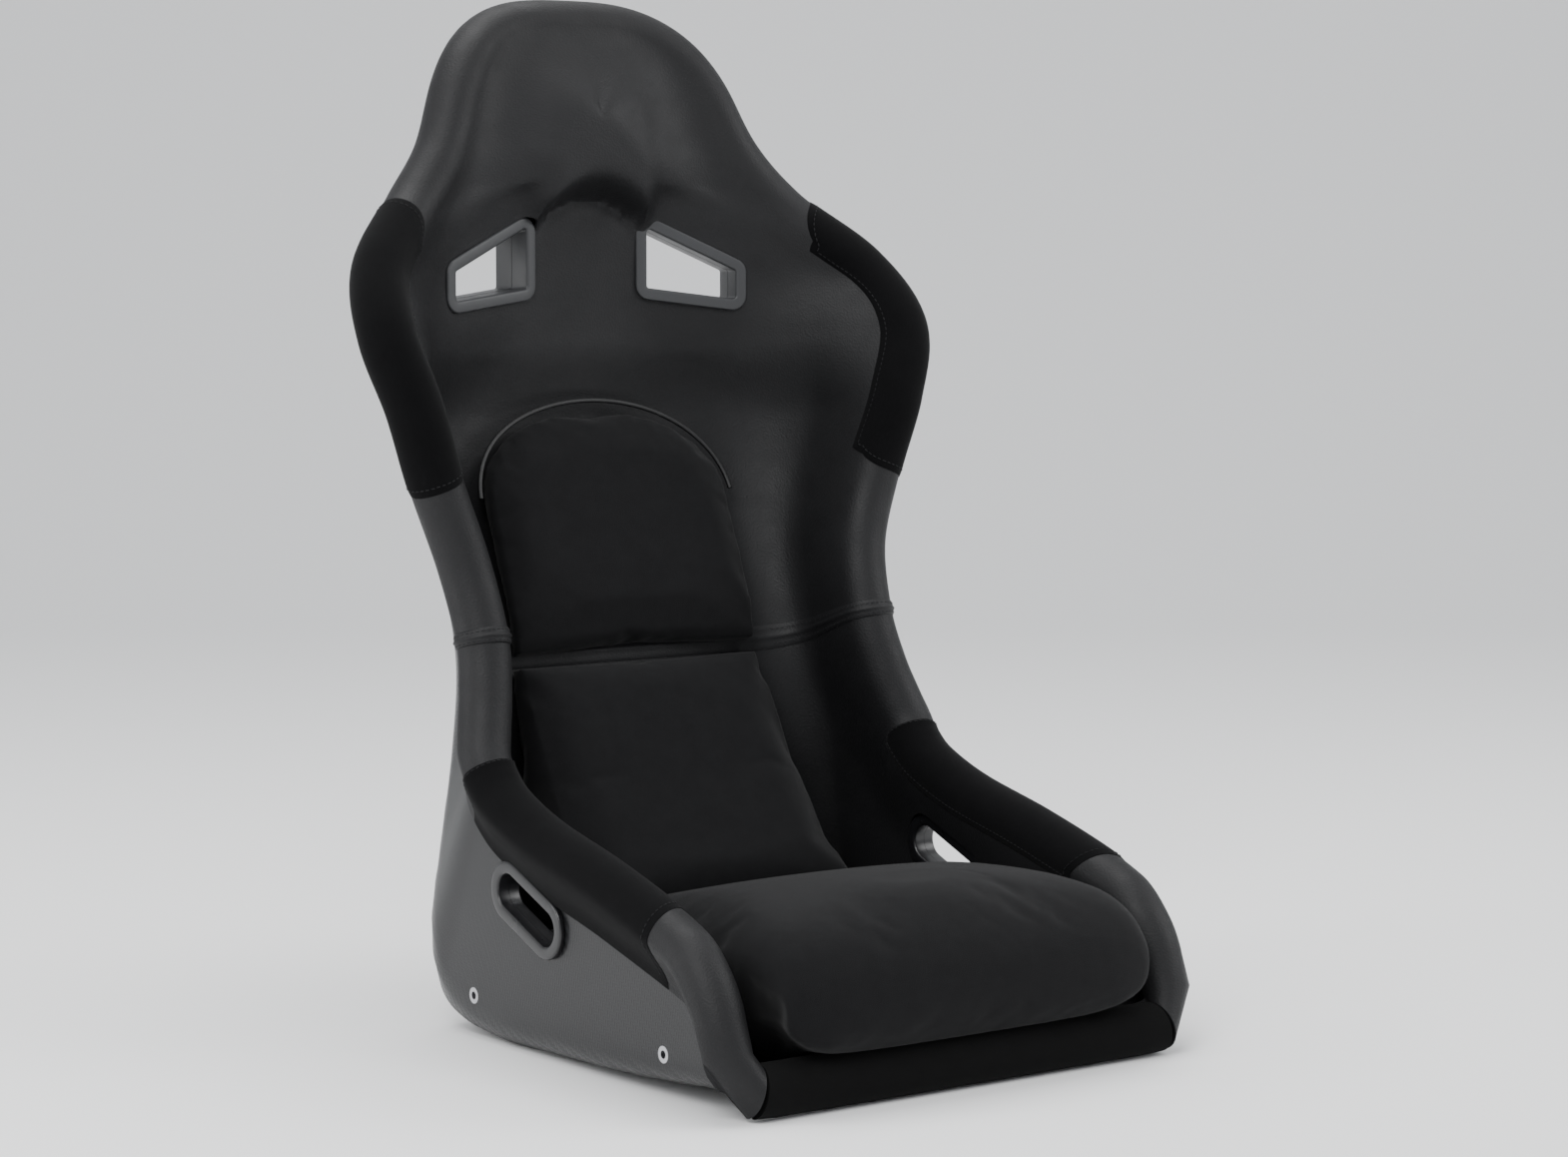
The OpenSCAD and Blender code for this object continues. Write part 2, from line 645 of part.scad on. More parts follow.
shell();
upper_cover();
lower_cover();
waist_band();
front_apron();
head_foam();
back_foam();
shoulder_foam(1);  // shoulder_foam_left
shoulder_foam(-1);  // shoulder_foam_right
pan_foam();
thigh_foam(1);  // thigh_foam_left
thigh_foam(-1);  // thigh_foam_right
shoulder_patch(1);  // shoulder_patch_left
shoulder_patch(-1);  // shoulder_patch_right
thigh_patch(1);  // thigh_patch_left
thigh_patch(-1);  // thigh_patch_right
upper_cushion_cover();
upper_cushion_foam();
upper_cushion_piping();
lower_cushion_cover();
lower_cushion_foam();
seat_cushion_cover();
seat_cushion_foam();
upper_hook_strips();
lower_hook_strips();
seat_hook_strips();
shoulder_bezel_front(1);  // shoulder_bezel_front_left
shoulder_bezel_front(-1);  // shoulder_bezel_front_right
shoulder_bezel_rear(1);  // shoulder_bezel_rear_left
shoulder_bezel_rear(-1);  // shoulder_bezel_rear_right
lap_bezel_inner(1);  // lap_bezel_inner_left
lap_bezel_inner(-1);  // lap_bezel_inner_right
lap_bezel_outer(1);  // lap_bezel_outer_left
lap_bezel_outer(-1);  // lap_bezel_outer_right
mount_plate(1);  // mount_plate_left
mount_plate(-1);  // mount_plate_right
threaded_inserts();
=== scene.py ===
"""Looks of the racing seat: high-resolution skins on the same surfaces as the CAD part."""

import math

import bmesh
import bpy
import numpy as np
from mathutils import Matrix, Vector


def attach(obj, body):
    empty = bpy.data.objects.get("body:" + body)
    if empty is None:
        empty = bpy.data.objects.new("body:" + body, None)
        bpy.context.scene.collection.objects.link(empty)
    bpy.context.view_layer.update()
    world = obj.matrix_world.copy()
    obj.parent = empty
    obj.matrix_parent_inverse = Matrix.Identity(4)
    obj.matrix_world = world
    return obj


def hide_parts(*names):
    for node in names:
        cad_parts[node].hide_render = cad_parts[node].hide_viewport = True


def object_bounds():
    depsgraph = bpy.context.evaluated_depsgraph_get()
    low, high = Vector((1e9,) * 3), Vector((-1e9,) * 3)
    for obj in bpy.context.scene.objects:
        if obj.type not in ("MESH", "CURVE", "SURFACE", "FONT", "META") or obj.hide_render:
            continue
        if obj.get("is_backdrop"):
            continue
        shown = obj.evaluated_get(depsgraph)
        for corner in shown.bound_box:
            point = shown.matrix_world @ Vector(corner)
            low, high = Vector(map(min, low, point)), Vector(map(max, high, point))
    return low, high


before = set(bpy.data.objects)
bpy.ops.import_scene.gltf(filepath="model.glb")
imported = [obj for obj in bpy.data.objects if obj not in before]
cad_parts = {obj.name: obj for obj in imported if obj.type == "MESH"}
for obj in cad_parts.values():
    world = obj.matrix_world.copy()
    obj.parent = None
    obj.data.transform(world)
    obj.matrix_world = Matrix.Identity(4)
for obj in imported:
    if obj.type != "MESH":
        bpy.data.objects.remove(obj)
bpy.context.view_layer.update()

# ---------------------------------------------------------------- the seat's surface, in millimetres
SIDE = 226.0
CENTRE_Y = -293.0
SHELL_T = 4.0
ROLL_R = 24.0
COVER_T = 2.5
GAP = 0.3
STATIONS = np.array([
    [8, 24, SIDE, 44, 112, 24, 90], [80, 18, SIDE, 104, 136, 18, 90],
    [180, 10, SIDE, 190, 161, 18, 90], [280, 6, SIDE, 278, 182, 20, 90],
    [374, 4, SIDE, 335, 203, 22, 90], [446, 16, SIDE, 362, 222, 24, 90],
    [474, 66, SIDE, 376, 242, 30, 90], [481, 140, 220, 386, 265, 40, 88],
    [488, 222, 212, 397, 296, 50, 85], [507, 312, 206, 411, 342, 62, 80],
    [541, 400, 213, 430, 408, 80, 76], [571, 480, 236, 436, 478, 110, 72],
    [587, 548, 258, 434, 544, 150, 65], [592, 606, 275, 448, 604, 200, 55],
    [592, 660, 258, 488, 657, 220, 50], [590, 712, 203, 532, 709, 200, 38],
    [588, 762, 161, 551, 759, 180, 33], [590, 822, 134, 567, 820, 170, 28],
    [594, 881, 110, 580, 879, 160, 24]], float)
LAST = len(STATIONS) - 1
EXT = np.vstack([2 * STATIONS[0] - STATIONS[1], STATIONS, 2 * STATIONS[-1] - STATIONS[-2]])
STEP = 76.0
HEAD_U = 16.5
HEAD_POWER = 3.2
WAIST_K = 10.5
APRON_K = 0.78
SLOT_GAP = 126.0


def smooth(t):
    t = np.clip(t, 0, 1)
    return t * t * (3 - 2 * t)


def unit(v):
    return v / np.maximum(np.linalg.norm(v, axis=-1, keepdims=True), 1e-12)


def station(u):
    u = np.atleast_1d(np.asarray(u, float))
    i = np.clip(np.floor(u), 0, LAST - 1).astype(int)
    t = (u - i)[:, None]
    a, b, c, d = EXT[i], EXT[i + 1], EXT[i + 2], EXT[i + 3]
    return 0.5 * (2 * b + (c - a) * t + (2 * a - 5 * b + 4 * c - d) * t**2
                  + (3 * b - 3 * c + d - a) * t**3)


def parts(s):
    psi = np.radians(s[:, 6])
    up = s[:, 3:5] - s[:, 0:2]
    h = np.linalg.norm(up, axis=1)
    wall = (h - s[:, 5] * (1 - np.cos(psi))) / np.sin(psi)
    flat = s[:, 2] - s[:, 5] * np.sin(psi) - wall * np.cos(psi)
    return psi, up / h[:, None], wall, flat, s[:, 5] * psi


def half_len(u):
    psi, n, wall, flat, arc = parts(station(u))
    return flat + arc + wall


def face(u, a):
    """Points of the shell's inner face at stations u, a millimetres out from the centreline."""
    u, a = np.broadcast_arrays(np.asarray(u, float), np.asarray(a, float))
    s = station(u)
    psi, n, wall, flat, arc = parts(s)
    b = np.abs(a)
    r = s[:, 5]
    turn = np.where(b < flat, 0, np.minimum(psi, (b - flat) / r))
    out = np.maximum(0, b - flat - arc)
    x = np.minimum(b, flat) + r * np.sin(turn) + out * np.cos(psi)
    h = r * (1 - np.cos(turn)) + out * np.sin(psi)
    near = np.minimum(1, np.abs(np.abs(x) - SLOT_GAP / 2 - 54) / 75)
    h = h + 6.5 * 0.5 * (1 + np.cos(np.pi * near)) * smooth((u - 12.4) / 0.9) * smooth((15.6 - u) / 0.9)
    return np.stack([np.sign(a) * x, s[:, 0] + n[:, 0] * h, s[:, 1] + n[:, 1] * h], 1)


def face_normal(u, a):
    return unit(np.cross(face(u, a + 1) - face(u, a - 1), face(u + 0.02, a) - face(u - 0.02, a)))


def rim(k):
    """Rim of the shell, as distance out and station, counted round half the rim."""
    k = np.atleast_1d(np.asarray(k, float))
    t = np.radians(90 * (np.clip(k, 1, 2) - 1))
    corner_u = 0.5 * (1 - np.cos(t))
    th = np.radians(90 * (np.clip(k, 18, 19) - 18))
    c, s = np.cos(th), np.sin(th)
    f = (np.maximum(c, 0)**HEAD_POWER + np.maximum(s, 0)**HEAD_POWER)**(-1 / HEAD_POWER)
    head_u = HEAD_U + (LAST - HEAD_U) * f * s
    a = np.where(k <= 1, np.maximum(1e-4, k) * (half_len(0)[0] - 42),
                 np.where(k <= 2, half_len(corner_u) - 42 * (1 - np.sin(t)),
                          np.where(k <= 18, half_len(np.clip(k - 1.5, 0, LAST)),
                                   np.maximum(0.01, half_len(head_u) * f * c))))
    u = np.where(k <= 1, 0, np.where(k <= 2, corner_u, np.where(k <= 18, k - 1.5, head_u)))
    return a, u


def rail_end(k):
    return np.where(k <= 2, 1.25 + 0.1 * k, np.where(k <= 5, 1.45 + 0.683 * (k - 2),
                    np.where(k <= 17.5, k - 1.5, 16 + 0.5 * (k - 17.5))))


def rail_len(k):
    a, u = rim(k)
    return np.hypot(a, (u - rail_end(k)) * STEP)


def rail_point(k, q):
    a, u = rim(k)
    return u * (1 - q) + rail_end(k) * q, a * (1 - q)


def edge_dir(k):
    hi, lo = np.minimum(19, k + 0.02), np.maximum(0, k - 0.02)
    (a1, u1), (a0, u0) = rim(hi), rim(lo)
    d = unit(face(u1, a1) - face(u0, a0))
    d[k < 0.01] = [1, 0, 0]
    d[k > 18.99] = [-1, 0, 0]
    return d


# A column is a pair: ("in", share of the rail), ("near", mm in from the rim),
# ("turn", angle round the rim) or ("out", mm in from the rim on the outside)
def share(k, col):
    kind, v = col
    return v + 0 * k if kind == "in" else 0 * k if kind == "turn" else v / rail_len(k)


def layer(k, col, t):
    """Points at height t above the shell, on half the seat."""
    k = np.atleast_1d(np.asarray(k, float))
    u, a = rail_point(k, share(k, col))
    p, n = face(u, a), face_normal(u, a)
    t = np.broadcast_to(t, k.shape)[:, None]
    if col[0] in ("in", "near"):
        return p + n * t
    if col[0] == "out":
        return p - n * (SHELL_T + t)
    phi = math.radians(col[1])
    o = np.cross(edge_dir(k), n)
    return p - n * SHELL_T / 2 + (n * math.sin(phi) + o * math.cos(phi)) * (SHELL_T / 2 + t)


def centre_pad(x, z):
    """Padding along the middle, with the headrest's lower edge arched between the belt slots."""
    arch = 690 + 34 * np.clip(1 - (x / 62)**2, 0, 1)
    mid = smooth((84 - np.abs(x)) / 44)
    wide = smooth((z - 690) / 84)
    tight = smooth((z - arch + 4) / 34)
    crease = 3.5 * np.exp(-((z - arch) / 7)**2) * smooth((62 - np.abs(x)) / 22)
    return 8 + 18 * smooth((z - 520) / 70) + 30 * (mid * tight + (1 - mid) * wide) - crease


def pad(k, col):
    k = np.atleast_1d(np.asarray(k, float))
    q = share(k, col)
    u, a = rail_point(k, q)
    p = face(u, a)
    d = q * rail_len(k)
    m = centre_pad(p[:, 0], p[:, 2])
    full = ROLL_R - SHELL_T / 2 - 2 * (1 - smooth((k - 0.8) / 0.6))
    if col[0] in ("in", "near"):
        reach = 88 + 46 * smooth((p[:, 2] - 690) / 90)
        return m + (full - m) * (1 - smooth(d / reach))
    if col[0] == "turn":
        return full
    return COVER_T + 0.4 + (full - COVER_T - 0.4) * (1 - smooth((d + 4) / 42))


# ---------------------------------------------------------------- meshes
def place(points):
    return (np.asarray(points, float) + [0, CENTRE_Y, 0]) / 1000


def new_mesh(name, verts, faces, mat, uv=None, angle=40):
    me = bpy.data.meshes.new(name)
    me.from_pydata([tuple(v) for v in verts], [], [tuple(f) for f in faces])
    me.update()
    if uv is not None:
        lay = me.uv_layers.new(name="UVMap")
        idx = np.empty(len(me.loops), int)
        me.loops.foreach_get("vertex_index", idx)
        lay.data.foreach_set("uv", np.asarray(uv, float)[idx].ravel())
    ob = bpy.data.objects.new(name, me)
    bpy.context.scene.collection.objects.link(ob)
    if mat:
        me.materials.append(mat)
    me.shade_smooth()
    me.set_sharp_from_angle(angle=math.radians(angle))
    return ob


def sheet_faces(rows, cols):
    r, c = np.meshgrid(np.arange(rows - 1), np.arange(cols - 1), indexing="ij")
    i = (r * cols + c).ravel()
    return np.stack([i, i + cols, i + cols + 1, i + 1], 1)


def solid(name, top, bottom, mat, angle=40, uv=None, zips=()):
    """Closed solid between two grids of points. zips names the end rows that fold on themselves."""
    rows, cols = top.shape[:2]
    n = rows * cols
    verts = np.concatenate([top.reshape(-1, 3), bottom.reshape(-1, 3)])
    skin = sheet_faces(rows, cols)
    faces = [tuple(f) for f in skin] + [tuple(f[::-1] + n) for f in skin]
    for r in range(rows - 1):
        a, b = r * cols, (r + 1) * cols
        faces.append((a, a + n, b + n, b))
        a, b = a + cols - 1, b + cols - 1
        faces.append((a, b, b + n, a + n))
    for c in range(cols - 1):
        if "first" not in zips:
            faces.append((c, c + 1, c + 1 + n, c + n))
        a = (rows - 1) * cols + c
        if "last" not in zips:
            faces.append((a, a + n, a + 1 + n, a + 1))
    if uv is not None:
        uv = np.concatenate([uv.reshape(-1, 2)] * 2)
    return new_mesh(name, place(verts), faces, mat, uv, angle)


def grid(ks, cols, height, mirror=True):
    """Rows of points across the seat for rails ks, or over its left half only."""
    half = np.stack([layer(ks, c, height(ks, c)) for c in cols], 1)
    if not mirror:
        return half
    half[:, 0, 0] = 0
    other = half[:, :0:-1] * [-1, 1, 1]
    return np.concatenate([other, half], 1)


def mirrored(points):
    """The same grid on the other half, keeping the faces' direction."""
    return points[:, ::-1] * [-1, 1, 1]


def spread(a, b, step):
    n = max(2, int(math.ceil((b - a) / step)) + 1)
    return np.linspace(a, b, n)


def rails(a, b):
    """Rails from a to b, close together round the front corner and the head."""
    marks = [(0, 1, .1), (1, 2, .05), (2, 18, .1), (18, 19, .02)]
    out = [a]
    for lo, hi, step in marks:
        out += [k for k in np.arange(lo, hi, step) if a + step * .4 < k < b - step * .4]
    return np.array(out + [b])


INSIDE = [("in", float(v)) for v in np.linspace(1, 0.30, 24)]
INSIDE += [("in", float(v)) for v in np.linspace(0.285, 0.0, 24)]
TURN = [("turn", float(v)) for v in np.arange(80, -81, -10)]
OUT = [("out", float(v)) for v in (0, 4, 8, 13, 18, 23, 28, 34, 40)]
ALL = INSIDE + TURN + OUT
zero = lambda k, c: 0 * k
under = lambda k, c: 0 * k - SHELL_T


# ---------------------------------------------------------------- materials
def nodes_of(name):
    mat = bpy.data.materials.new(name)
    mat.use_nodes = True
    nt = mat.node_tree
    nt.nodes.clear()
    out = nt.nodes.new("ShaderNodeOutputMaterial")
    sh = nt.nodes.new("ShaderNodeBsdfPrincipled")
    nt.links.new(sh.outputs["BSDF"], out.inputs["Surface"])
    return mat, nt, sh


def node(nt, kind, **values):
    n = nt.nodes.new(kind)
    for k, v in values.items():
        if k in n.inputs:
            n.inputs[k].default_value = v
        else:
            setattr(n, k, v)
    return n


def coords(nt):
    return nt.nodes.new("ShaderNodeTexCoord").outputs["Object"]


def noise(nt, scale, detail=3, rough=0.5, vec=None):
    n = node(nt, "ShaderNodeTexNoise")
    n.inputs["Scale"].default_value = scale
    n.inputs["Detail"].default_value = detail
    n.inputs["Roughness"].default_value = rough
    nt.links.new(vec or coords(nt), n.inputs["Vector"])
    return n.outputs["Fac"]


def voronoi(nt, scale, feature="F1", vec=None):
    n = node(nt, "ShaderNodeTexVoronoi", feature=feature)
    n.inputs["Scale"].default_value = scale
    nt.links.new(vec or coords(nt), n.inputs["Vector"])
    return n.outputs["Distance"]


def math_node(nt, op, a, b=None, c=None):
    n = node(nt, "ShaderNodeMath", operation=op)
    for i, v in enumerate([a, b, c]):
        if v is None:
            continue
        if isinstance(v, (int, float)):
            n.inputs[i].default_value = v
        else:
            nt.links.new(v, n.inputs[i])
    return n.outputs[0]


def ramp(nt, fac, lo, hi):
    """A colour from lo to hi along fac."""
    n = node(nt, "ShaderNodeValToRGB")
    n.color_ramp.elements[0].position = 0.3
    n.color_ramp.elements[1].position = 0.7
    n.color_ramp.elements[0].color = (*lo, 1)
    n.color_ramp.elements[1].color = (*hi, 1)
    nt.links.new(fac, n.inputs["Fac"])
    return n.outputs["Color"]


def span(nt, fac, lo, hi):
    n = node(nt, "ShaderNodeMapRange")
    n.inputs["From Min"].default_value = 0.25
    n.inputs["From Max"].default_value = 0.75
    n.inputs["To Min"].default_value = lo
    n.inputs["To Max"].default_value = hi
    nt.links.new(fac, n.inputs["Value"])
    return n.outputs["Result"]


def bump(nt, height, distance, strength=1.0, over=None):
    n = node(nt, "ShaderNodeBump")
    n.inputs["Distance"].default_value = distance
    n.inputs["Strength"].default_value = strength
    nt.links.new(height, n.inputs["Height"])
    if over is not None:
        nt.links.new(over, n.inputs["Normal"])
    return n.outputs["Normal"]


def put(nt, sh, **links):
    for k, v in links.items():
        socket = sh.inputs[k.replace("_", " ")]
        if isinstance(v, bpy.types.NodeSocket):
            nt.links.new(v, socket)
        else:
            socket.default_value = v


def leather(name, colour, rough=0.5):
    mat, nt, sh = nodes_of(name)
    grain = voronoi(nt, 620, "SMOOTH_F1")
    fine = noise(nt, 1900, 2)
    broad = noise(nt, 9, 3)
    h = math_node(nt, "MULTIPLY_ADD", fine, 0.35, grain)
    n1 = bump(nt, h, 0.00035, 0.75)
    n2 = bump(nt, broad, 0.004, 0.25, n1)
    put(nt, sh, Base_Color=ramp(nt, broad, [c * 0.85 for c in colour], [c * 1.15 for c in colour]),
        Roughness=span(nt, noise(nt, 40, 3), rough - 0.05, rough + 0.07),
        Specular_IOR_Level=0.22, Normal=n2, Sheen_Weight=0.0, Sheen_Roughness=0.4)
    return mat


def cloth(name, colour, sheen, rough=0.92, scale=1500, depth=0.0003, tint=(1, 1, 1)):
    mat, nt, sh = nodes_of(name)
    fibre = noise(nt, scale, 4, 0.7)
    mottle = noise(nt, 55, 4, 0.6)
    n1 = bump(nt, fibre, depth, 0.8)
    n2 = bump(nt, mottle, 0.0008, 0.3, n1)
    put(nt, sh, Base_Color=ramp(nt, mottle, [c * 0.93 for c in colour], [c * 1.08 for c in colour]),
        Roughness=rough, Specular_IOR_Level=0.05, Sheen_Weight=sheen, Sheen_Roughness=0.45,
        Sheen_Tint=(*tint, 1), Normal=n2)
    return mat


def plastic(name, colour, rough, grain=0.00006, coat=0.0):
    mat, nt, sh = nodes_of(name)
    put(nt, sh, Base_Color=(*colour, 1), Roughness=span(nt, noise(nt, 60, 3), rough - 0.04, rough + 0.05),
        Specular_IOR_Level=0.5, Coat_Weight=coat, Coat_Roughness=0.12,
        Normal=bump(nt, noise(nt, 2600, 2), grain, 0.6))
    return mat


def metal(name, colour, rough):
    mat, nt, sh = nodes_of(name)
    put(nt, sh, Base_Color=(*colour, 1), Metallic=1.0,
        Roughness=span(nt, noise(nt, 300, 3), rough - 0.06, rough + 0.08),
        Normal=bump(nt, noise(nt, 900, 2), 0.00004, 0.5))
    return mat


def laminate(name):
    """Twill weave under a clear gloss, drawn in the millimetres of the shell's own grid."""
    mat, nt, sh = nodes_of(name)
    uv = nt.nodes.new("ShaderNodeTexCoord").outputs["UV"]
    sep = node(nt, "ShaderNodeSeparateXYZ")
    nt.links.new(uv, sep.inputs[0])
    tow = 2.6
    x = math_node(nt, "DIVIDE", sep.outputs[0], tow)
    y = math_node(nt, "DIVIDE", sep.outputs[1], tow)
    step = math_node(nt, "ADD", math_node(nt, "FLOOR", x), math_node(nt, "FLOOR", y))
    warp = math_node(nt, "LESS_THAN", math_node(nt, "MODULO", math_node(nt, "ADD", step, 4000), 4), 2)
    fx = math_node(nt, "ABSOLUTE", math_node(nt, "SUBTRACT", math_node(nt, "FRACT", x), 0.5))
    fy = math_node(nt, "ABSOLUTE", math_node(nt, "SUBTRACT", math_node(nt, "FRACT", y), 0.5))
    hx = math_node(nt, "MULTIPLY", warp, math_node(nt, "SUBTRACT", 0.5, fx))
    hy = math_node(nt, "MULTIPLY", math_node(nt, "SUBTRACT", 1, warp), math_node(nt, "SUBTRACT", 0.5, fy))
    h = math_node(nt, "ADD", hx, hy)
    mix = node(nt, "ShaderNodeValToRGB")
    mix.color_ramp.elements[0].color = (0.0025, 0.0025, 0.003, 1)
    mix.color_ramp.elements[1].color = (0.015, 0.0155, 0.0165, 1)
    shade = math_node(nt, "MULTIPLY_ADD", warp, 0.55, math_node(nt, "MULTIPLY", h, 0.8))
    nt.links.new(shade, mix.inputs["Fac"])
    put(nt, sh, Base_Color=mix.outputs["Color"], Roughness=math_node(nt, "MULTIPLY_ADD", warp, 0.12, 0.34),
        Specular_IOR_Level=0.2, Coat_Weight=0.28, Coat_Roughness=0.14,
        Normal=bump(nt, h, 0.0003, 0.5), Coat_Normal=bump(nt, noise(nt, 26, 3), 0.0006, 0.25))
    return mat


M = {
    "shell": laminate("shell_laminate"),
    "leather": leather("leatherette", (0.0100, 0.0100, 0.0107), 0.52),
    "suede": cloth("suede", (0.0035, 0.0035, 0.0038), 0.035),
    "apron": cloth("apron_cloth", (0.0045, 0.0045, 0.0045), 0.02),
    "cushion": cloth("cushion_cloth", (0.0085, 0.0085, 0.009), 0.06, scale=1100, depth=0.0004),
    "thread": cloth("thread", (0.013, 0.013, 0.014), 0.1, 0.7, 3000, 0.0001),
    "piping": plastic("piping", (0.003, 0.003, 0.0033), 0.5),
    "bezel": plastic("bezel", (0.027, 0.028, 0.030), 0.46),
    "lap": plastic("lap_bezel", (0.008, 0.008, 0.009), 0.30),
    "hook": cloth("hook_tape", (0.008, 0.008, 0.008), 0.1, scale=900, depth=0.0008),
    "foam": cloth("foam", (0.20, 0.20, 0.18), 0.1, scale=500, depth=0.0006),
    "alloy": metal("alloy", (0.62, 0.62, 0.64), 0.38),
    "steel": metal("steel", (0.50, 0.50, 0.52), 0.32),
}


def done(ob, body, slot_name, *cad):
    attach(ob, body)
    if cad:
        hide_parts(*cad)
    return ob


def apply_all(ob):
    bpy.context.view_layer.objects.active = ob
    dg = bpy.context.evaluated_depsgraph_get()
    me = bpy.data.meshes.new_from_object(ob.evaluated_get(dg))
    old = ob.data
    ob.modifiers.clear()
    ob.data = me
    bpy.data.meshes.remove(old)
    return ob


# ---------------------------------------------------------------- belt slots and their rooms
SLOT = np.array([[14, 25], [97, -12], [97, -33], [14, -23]], float)
SLOT_TURN, SLOT_X, SLOT_Y, SLOT_Z = 13, SLOT_GAP / 2, 599, 667
LAP_TILT, LAP_Y, LAP_Z = 22, 300, 126


def outline(centres, r, steps=10):
    """Rounded outline of a convex polygon given clockwise, with the same points for every r."""
    n = len(centres)
    pts = []
    for i in range(n):
        to = math.atan2(*(lambda d: (d[0], -d[1]))(centres[(i + 1) % n] - centres[i]))
        fr = math.atan2(*(lambda d: (d[0], -d[1]))(centres[i] - centres[i - 1]))
        sweep = (fr - to) % (2 * math.pi)
        for j in range(steps + 1):
            t = fr - sweep * j / steps
            pts.append(centres[i] + r * np.array([math.cos(t), math.sin(t)]))
    return np.array(pts)


def stadium(r, steps=24):
    pts = []
    for cx, start in ((31, 90), (-31, 270)):
        for j in range(steps + 1):
            t = math.radians(start - 180 * j / steps)
            pts.append([cx + r * math.cos(t), r * math.sin(t)])
    return np.array(pts)


def slot_place(p, side):
    """From a slot's own frame to the seat's, with Z out through the front of the back."""
    x, y, z = p[:, 0], -p[:, 2], p[:, 1]
    a = math.radians(-SLOT_TURN)
    q = np.stack([x * math.cos(a) - y * math.sin(a) + SLOT_X,
                  x * math.sin(a) + y * math.cos(a) + SLOT_Y, z + SLOT_Z], 1)
    return q * [side, 1, 1]


def lap_place(p, side):
    """From a lap slot's own frame to the seat's, with Z straight out through the side wall."""
    y0, z0 = p[:, 0], p[:, 1]
    a = math.radians(LAP_TILT)
    q = np.stack([p[:, 2], y0 * math.cos(a) - z0 * math.sin(a) + LAP_Y,
                  y0 * math.sin(a) + z0 * math.cos(a) + LAP_Z], 1)
    return q * [side, 1, 1]


def ring(name, shape, section, to_seat, side, mat):
    """A closed ring whose section is a loop of (radius, depth) pairs round a rounded outline."""
    loops = [np.column_stack([shape(r), np.full(len(shape(r)), z)]) for r, z in section]
    pts = np.array(loops)
    rows, cols = pts.shape[:2]
    verts = to_seat(pts.reshape(-1, 3), side)
    faces = []
    for r in range(rows):
        for c in range(cols):
            a, b = r * cols + c, r * cols + (c + 1) % cols
            d, e = (r + 1) % rows * cols + c, (r + 1) % rows * cols + (c + 1) % cols
            faces.append((a, b, e, d) if side > 0 else (a, d, e, b))
    ob = new_mesh(name, place(verts), faces, mat, angle=50)
    bpy.context.view_layer.objects.active = ob
    bpy.ops.object.select_all(action="DESELECT")
    ob.select_set(True)
    bpy.ops.object.mode_set(mode="EDIT")
    bpy.ops.mesh.select_all(action="SELECT")
    bpy.ops.mesh.remove_doubles(threshold=1e-6)
    bpy.ops.mesh.normals_make_consistent(inside=False)
    bpy.ops.object.mode_set(mode="OBJECT")
    return ob


def arc(cx, cz, r, a0, a1, n=5):
    return [(cx + r * math.cos(math.radians(a)), cz + r * math.sin(math.radians(a)))
            for a in np.linspace(a0, a1, n)]


def plug(name, shape, r, z0, z1, to_seat, side):
    """A solid cutter through a wall."""
    o = shape(r)
    n = len(o)
    pts = np.concatenate([np.column_stack([o, np.full(n, z0)]), np.column_stack([o, np.full(n, z1)])])
    verts = to_seat(pts, side)
    faces = [tuple(range(n)), tuple(range(2 * n - 1, n - 1, -1))]
    faces += [(i, n + i, n + (i + 1) % n, (i + 1) % n) for i in range(n)]
    ob = new_mesh(name, place(verts), faces, None)
    bpy.context.view_layer.objects.active = ob
    bpy.ops.object.select_all(action="DESELECT")
    ob.select_set(True)
    bpy.ops.object.mode_set(mode="EDIT")
    bpy.ops.mesh.select_all(action="SELECT")
    bpy.ops.mesh.remove_doubles(threshold=1e-6)
    bpy.ops.mesh.normals_make_consistent(inside=False)
    bpy.ops.object.mode_set(mode="OBJECT")
    return ob


slot_shape = lambda r: outline(SLOT, r)


def cut(ob, cutters):
    for c in cutters:
        m = ob.modifiers.new("cut", "BOOLEAN")
        m.operation = "DIFFERENCE"
        m.solver = "EXACT"
        m.object = c
    apply_all(ob)
    for p in ob.data.polygons:
        p.use_smooth = True
    ob.data.set_sharp_from_angle(angle=math.radians(40))
    return ob


slot_cutters = [plug(f"slot_cut_{s}", slot_shape, 5.3, -60, 90, slot_place, s) for s in (1, -1)]
slot_front_cutters = [plug(f"slot_front_{s}", slot_shape, 14.2, 32.7, 90, slot_place, s) for s in (1, -1)]
lap_cutters = [plug(f"lap_cut_{s}", stadium, 17.8, 190, 260, lap_place, s) for s in (1, -1)]
lap_in_cutters = [plug(f"lap_in_{s}", stadium, 26.3, 178, 217.7, lap_place, s) for s in (1, -1)]
lap_out_cutters = [plug(f"lap_out_{s}", stadium, 26.3, 230.3, 260, lap_place, s) for s in (1, -1)]


